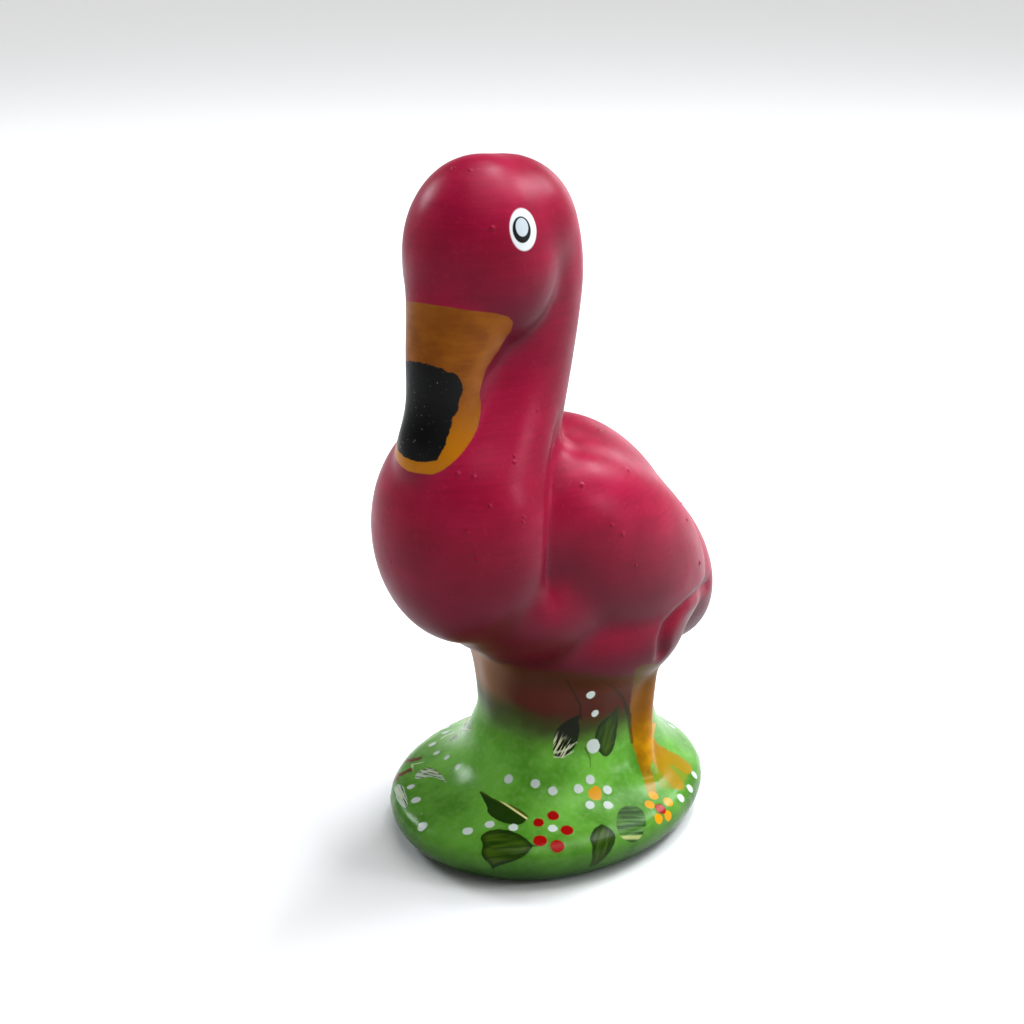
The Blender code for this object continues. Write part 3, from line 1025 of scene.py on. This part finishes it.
def bird_paint(n, place, z):
    """Crimson, mottled by the airbrush and wiped in fine lines, with painted shade where it faces sideways
    and down and low above the stump.
    """
    mottle = n.noise(place, 38.0, 3.0)
    wiping = n.noise(n.stretch(place, (60.0, 60.0, 900.0)), 1.0, 2.0)
    fine = n.noise(place, 650.0, 2.0)
    pink = n.mix(n.fade(mottle, 0.3, 0.7), *CRIMSONS)
    pink = n.mix(n.fade(wiping, 0.35, 0.75, 0.0, 0.22), pink, WIPED_CRIMSON)
    pink = n.mix(n.fade(fine, 0.58, 0.75, 0.0, 0.25), pink, PINK_SPECK)
    # Painted shade: deeper crimson where the skin faces sideways and down
    under = n.plus(n.layer("under"), n.spread(n.noise(place, 25.0, 2.0), 0.15))
    pink = n.mix(n.fade(under, -0.5, 0.65, 0.0, 0.9), pink, PAINTED_SHADE_CRIMSON)
    # Painted shade: darker low on the bird, just above the stump
    return n.mix(n.fade(z, 0.074, 0.088, 0.5, 0.0), pink, THIGH_PAINTED_SHADE)


def base_paint(n, place, x, y, z):
    """Green on the base running up into brown and dull maroon on the stump, with painted shade at the base's
    low edge and the stump's middle.
    """
    blotch = n.noise(place, 55.0, 4.0)
    fine = n.noise(place, 420.0, 3.0)
    green = n.mix(n.fade(blotch, 0.3, 0.7), *GREENS)
    green = n.mix(n.fade(fine, 0.40, 0.75, 0.0, 0.30), green, GREEN_SPECK)
    low = n.plus(z, n.spread(blotch, 0.003))
    # Darker toward the floor: partly airbrushed green, partly painted shade where the base meets the floor
    green = n.mix(n.fade(low, 0.002, 0.027, 0.95, 0.0), green, LOW_GREEN_AND_PAINTED_SHADE)
    edge = n.math("MULTIPLY_ADD", x, -0.15, GREEN_TOP)
    height = n.plus(n.math("SUBTRACT", z, edge), n.spread(n.noise(place, 45.0, 3.0), 0.007))
    toward_leg = n.toward_leg(x, y)
    # Painted shade in part: darker brown toward the stump's middle and the leg, under the body
    brown = n.mix(n.fade(toward_leg, -0.030, -0.008), *BROWNS_AND_PAINTED_SHADE)
    dull = n.times(n.fade(height, 0.001, 0.007), n.fade(z, 0.063, 0.070, 1.0, 0.0))
    dull = n.times(dull, n.fade(toward_leg, -0.020, -0.008))
    brown = n.mix(n.times(dull, n.fade(blotch, 0.35, 0.6, 0.45, 0.95)), brown, MAROON_AND_PAINTED_SHADE)
    olive = n.mix(n.fade(height, -0.015, 0.0), green, OLIVE_BROWN)
    return n.mix(n.fade(height, -0.002, 0.006), olive, brown)


def leaf_paint(n):
    """The brush streaks of each kind of leaf, one kind over another."""
    along, across, kind = n.layer("leaf_along"), n.layer("leaf_across"), n.layer("leaf_kind")
    streak_place = n.join(n.math("MULTIPLY_ADD", kind, 7.0, n.times(along, 1.2)), n.times(across, 9.0), kind)
    streaks = n.noise(streak_place, 1.3, 2.0)
    lines = n.noise(n.join(n.times(along, 1.5), n.times(across, 16.0), kind), 1.6, 1.0)
    edge = n.fade(n.layer("leaf"), -0.0024, -0.0004)

    dark_edge, dark, light = OLIVE_PAINT
    olive = n.mix(n.fade(streaks, 0.32, 0.68), dark, light)
    olive = n.mix(n.times(edge, 0.75), olive, dark_edge)

    dark_edge, dark, light, cream = RIBBED_PAINT
    rib = n.math("ABSOLUTE", n.plus(across, n.math("MULTIPLY_ADD", along, -0.10, 0.02)))
    ribbed = n.mix(n.fade(across, -0.03, 0.03), dark, light)
    ribbed = n.mix(n.times(edge, 0.4), ribbed, dark_edge)
    shown = n.fade(along, 0.62, 0.72, 1.0, 0.0)
    ribbed = n.mix(n.times(n.fade(rib, 0.012, 0.026, 1.0, 0.0), shown), ribbed, cream)

    dark, light, cream = BARRED_PAINT
    bars = n.noise(n.join(n.times(along, 6.0), n.times(across, 0.8), kind), 1.6, 2.0)
    barred = n.mix(n.fade(bars, 0.38, 0.62), dark, light)
    last = n.times(n.fade(along, 0.78, 0.82), n.fade(along, 0.88, 0.93, 1.0, 0.0))
    barred = n.mix(n.times(last, 0.8), barred, cream)

    white_end = n.times(n.fade(lines, 0.50, 0.58), n.fade(along, 0.45, 0.75))
    streaked = n.mix(white_end, *STREAKED_PAINT)

    dark, middle, light = WHITE_PAINT
    white = n.mix(n.fade(lines, 0.38, 0.50), dark, light)
    white = n.mix(n.times(n.fade(across, 0.10, 0.24), n.fade(streaks, 0.35, 0.6)), white, middle)

    leaf = olive
    for number, paint_colour in ((RIBBED, ribbed), (BARRED, barred), (STREAKED, streaked), (WHITE, white)):
        leaf = n.mix(n.nearly(kind, number), leaf, paint_colour)
    return leaf


def leg_paint(n, place, z):
    """Yellow on the toes and shin, running up into brown under the belly, partly the leg's own paint and
    partly painted shade.
    """
    leg = n.mix(n.fade(n.noise(place, 160.0, 3.0), 0.35, 0.7), *LEG_YELLOWS)
    leg = n.mix(n.fade(z, 0.020, 0.034, 1.0, 0.0), leg, TOE_YELLOW)
    # Painted shade in part: browner and darker up the leg, under the belly
    leg = n.mix(n.fade(z, 0.035, 0.050), leg, LEG_BROWN_AND_PAINTED_SHADE)
    return n.mix(n.fade(z, 0.052, 0.066), leg, LEG_TOP_AND_PAINTED_SHADE)


def bill_paint(n, place, z):
    """Brushed bill paint: darker ochre toward the root as painted shade, yellower toward its end."""
    brushed = n.noise(n.stretch(place, (120.0, 120.0, 700.0)), 1.0, 2.0)
    yellow = n.mix(n.fade(n.noise(place, 120.0, 3.0), 0.3, 0.7), *BILL_PAINTED_SHADE_OCHRES)
    # Painted shade: darker ochre toward the root, yellower toward the end
    yellow = n.mix(n.fade(z, 0.168, 0.192, 1.0, 0.0), yellow, BILL_YELLOW)
    return n.mix(n.fade(brushed, 0.45, 0.75, 0.0, 0.25), yellow, BILL_BRUSHED)


def oval(n, middle_side, middle_up, half_side, half_up):
    """The inside of an oval on the eye."""
    across = n.math("DIVIDE", n.plus(n.layer("eye_side"), -middle_side), half_side)
    up = n.math("DIVIDE", n.plus(n.layer("eye_up"), -middle_up), half_up)
    squares = n.plus(n.times(across, across), n.times(up, up))
    return n.fade(n.math("SQRT", squares), 0.95, 1.05, 1.0, 0.0)


def all_paint(n, place):
    """Every paint on the casting, in the order in which they are brushed over each other."""
    x, y, z = n.add("ShaderNodeSeparateXYZ", {0: place}).outputs
    ragged = n.spread(n.noise(place, 420.0, 2.0), 0.0005)
    dabs = n.spread(n.noise(place, 500.0, 1.0), 0.0003)

    rise = n.math("MULTIPLY_ADD", n.toward_leg(n.math("ABSOLUTE", x), y), 0.33, -0.0043)
    belly_edge = n.plus(z, n.math("MAXIMUM", rise, 0.0))
    belly_edge = n.plus(belly_edge, n.spread(n.noise(place, 60.0, 3.0), 0.002))
    on_bird = n.fade(belly_edge, *CRIMSON_FROM)
    colour = n.mix(on_bird, base_paint(n, place, x, y, z), bird_paint(n, place, z))

    colour = n.mix(n.inside("web", ragged, 0.75, 0.0008), colour, WEB_OLIVE)
    colour = n.mix(n.inside("leg", ragged, 0.95, 0.0004), colour, leg_paint(n, place, z))
    colour = n.mix(n.inside("leaf", n.times(ragged, 0.4), 0.95), colour, leaf_paint(n))
    colour = n.mix(n.inside("dark", 0.0, 0.6), colour, STROKE_BROWN)
    colour = n.mix(n.inside("berry", dabs, 0.9), colour, BERRY_BROWN)
    colour = n.mix(n.inside("pale", dabs, 0.75), colour, STROKE_CREAM)
    for name, dot_paint in DOT_PAINTS:
        colour = n.mix(n.inside(name, dabs), colour, dot_paint)

    colour = n.mix(n.inside("bill"), colour, bill_paint(n, place, z))
    flecks = n.fade(n.noise(place, 900.0, 1.0), 0.70, 0.76, 0.0, 0.5)
    black = n.mix(flecks, *BILL_BLACKS)
    colour = n.mix(n.inside("black", n.spread(n.noise(place, 260.0, 3.0), 0.0011)), colour, black)
    for *shape, eye_paint in EYE_OVALS:
        colour = n.mix(oval(n, *shape), colour, eye_paint)
    return colour


def painted_ceramic():
    """Paint under a glaze: satin on the bird, glossier on the base, with a fine peel and thick dots."""
    n = Nodes("painted ceramic")
    place = n.add("ShaderNodeTexCoord").outputs["Object"]
    z = n.add("ShaderNodeSeparateXYZ", {0: place}).outputs["Z"]
    on_base = n.fade(z, 0.028, 0.060, 1.0, 0.0)
    rough = n.fade(n.noise(place, 90.0, 3.0), 0.3, 0.7, 0.33, 0.40)
    rough = n.math("MULTIPLY_ADD", on_base, -0.13, rough)
    thick_dots = [n.inside(name, -0.0003, 1.0, 0.0008) for name in ("white", "red")]
    height = n.plus(n.times(n.noise(place, 520.0, 2.0), 0.20), n.times(n.math("MAXIMUM", *thick_dots), 1.6))
    grain = n.noise(place, 1100.0, 2.0)
    height = n.plus(height, n.times(grain, n.math("MULTIPLY_ADD", on_base, 0.22, 0.07)))
    bump = n.add("ShaderNodeBump", {"Strength": 0.5, "Distance": 0.0002, "Height": height})
    n.finish({"Base Color": all_paint(n, place), "Roughness": rough, "Normal": bump.outputs[0],
              "IOR": 1.45, "Specular IOR Level": 0.20})
    return n.material


def make_stage():
    mesh = bpy.data.meshes.new("floor")
    corners = [(-FLOOR_HALF, -FLOOR_HALF, 0), (FLOOR_HALF, -FLOOR_HALF, 0)]
    corners += [(FLOOR_HALF, FLOOR_HALF, 0), (-FLOOR_HALF, FLOOR_HALF, 0)]
    mesh.from_pydata(corners, [], [(0, 1, 2, 3)])
    floor = link("floor", mesh)
    n = Nodes("pale floor")
    n.finish({"Base Color": (FLOOR_GREY, FLOOR_GREY, FLOOR_GREY, 1.0), "Roughness": 0.8})
    mesh.materials.append(n.material)


def put_light(light, azimuth, elevation, distance):
    """Places a light by angles in degrees round from the front and above the level, aimed at the body."""
    away = outward(math.radians(azimuth), math.radians(elevation))
    light.location = CAMERA_TARGET + away * distance
    light.rotation_euler = (-away).to_track_quat("-Z", "Y").to_euler()
    light.visible_camera = False


def make_light():
    """A pale horizon under a darker sky, then the suns and softboxes."""
    world = bpy.data.worlds.new("studio")
    bpy.context.scene.world = world
    world.use_nodes = True
    nodes, links = world.node_tree.nodes, world.node_tree.links
    upward = nodes.new("ShaderNodeSeparateXYZ")
    links.new(nodes.new("ShaderNodeTexCoord").outputs["Generated"], upward.inputs[0])
    shade = nodes.new("ShaderNodeMapRange")
    links.new(upward.outputs["Z"], shade.inputs[0])
    for socket, value in zip(shade.inputs[1:], (*SKY_FADE, HORIZON_STRENGTH, SKY_STRENGTH)):
        socket.default_value = value
    nodes["Background"].inputs["Color"].default_value = (1.0, 1.0, 1.0, 1.0)
    links.new(shade.outputs[0], nodes["Background"].inputs["Strength"])
    for name, azimuth, elevation, strength in SUNS:
        data = bpy.data.lights.new(name, "SUN")
        data.energy = strength
        data.angle = SUN_SPREAD
        put_light(link(name, data), azimuth, elevation, SUN_DISTANCE)
    for name, azimuth, elevation, size, power in SOFTBOXES:
        data = bpy.data.lights.new(name, "AREA")
        data.size = size
        data.energy = power
        data.color = SOFTBOX_COLOUR
        put_light(link(name, data), azimuth, elevation, SOFTBOX_DISTANCE)
    view = bpy.context.scene.view_settings
    view.view_transform = "Standard"
    view.look = "None"
    view.gamma = VIEW_GAMMA


make_camera()
flamingo = fuse("painted_casting", core(), details(), SKIN_VOXEL, SKIN_PASSES)
press(flamingo.data, WING_GROOVE, WING_GROOVE_WIDTH)
press(flamingo.data, TAIL_GROOVE, TAIL_GROOVE_WIDTH)
first_skin = Skin(flamingo)
paint(first_skin)
bumps = pimple_places(first_skin)
refine(flamingo, mark_points(first_skin), MARK_CUTS)
raise_pimples(flamingo, bumps)
finish_underside(flamingo)
skin = Skin(flamingo)
paint(skin)
skin.store()
flamingo.data.materials.append(painted_ceramic())
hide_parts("flamingo")
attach(flamingo, "root")
make_stage()
make_light()
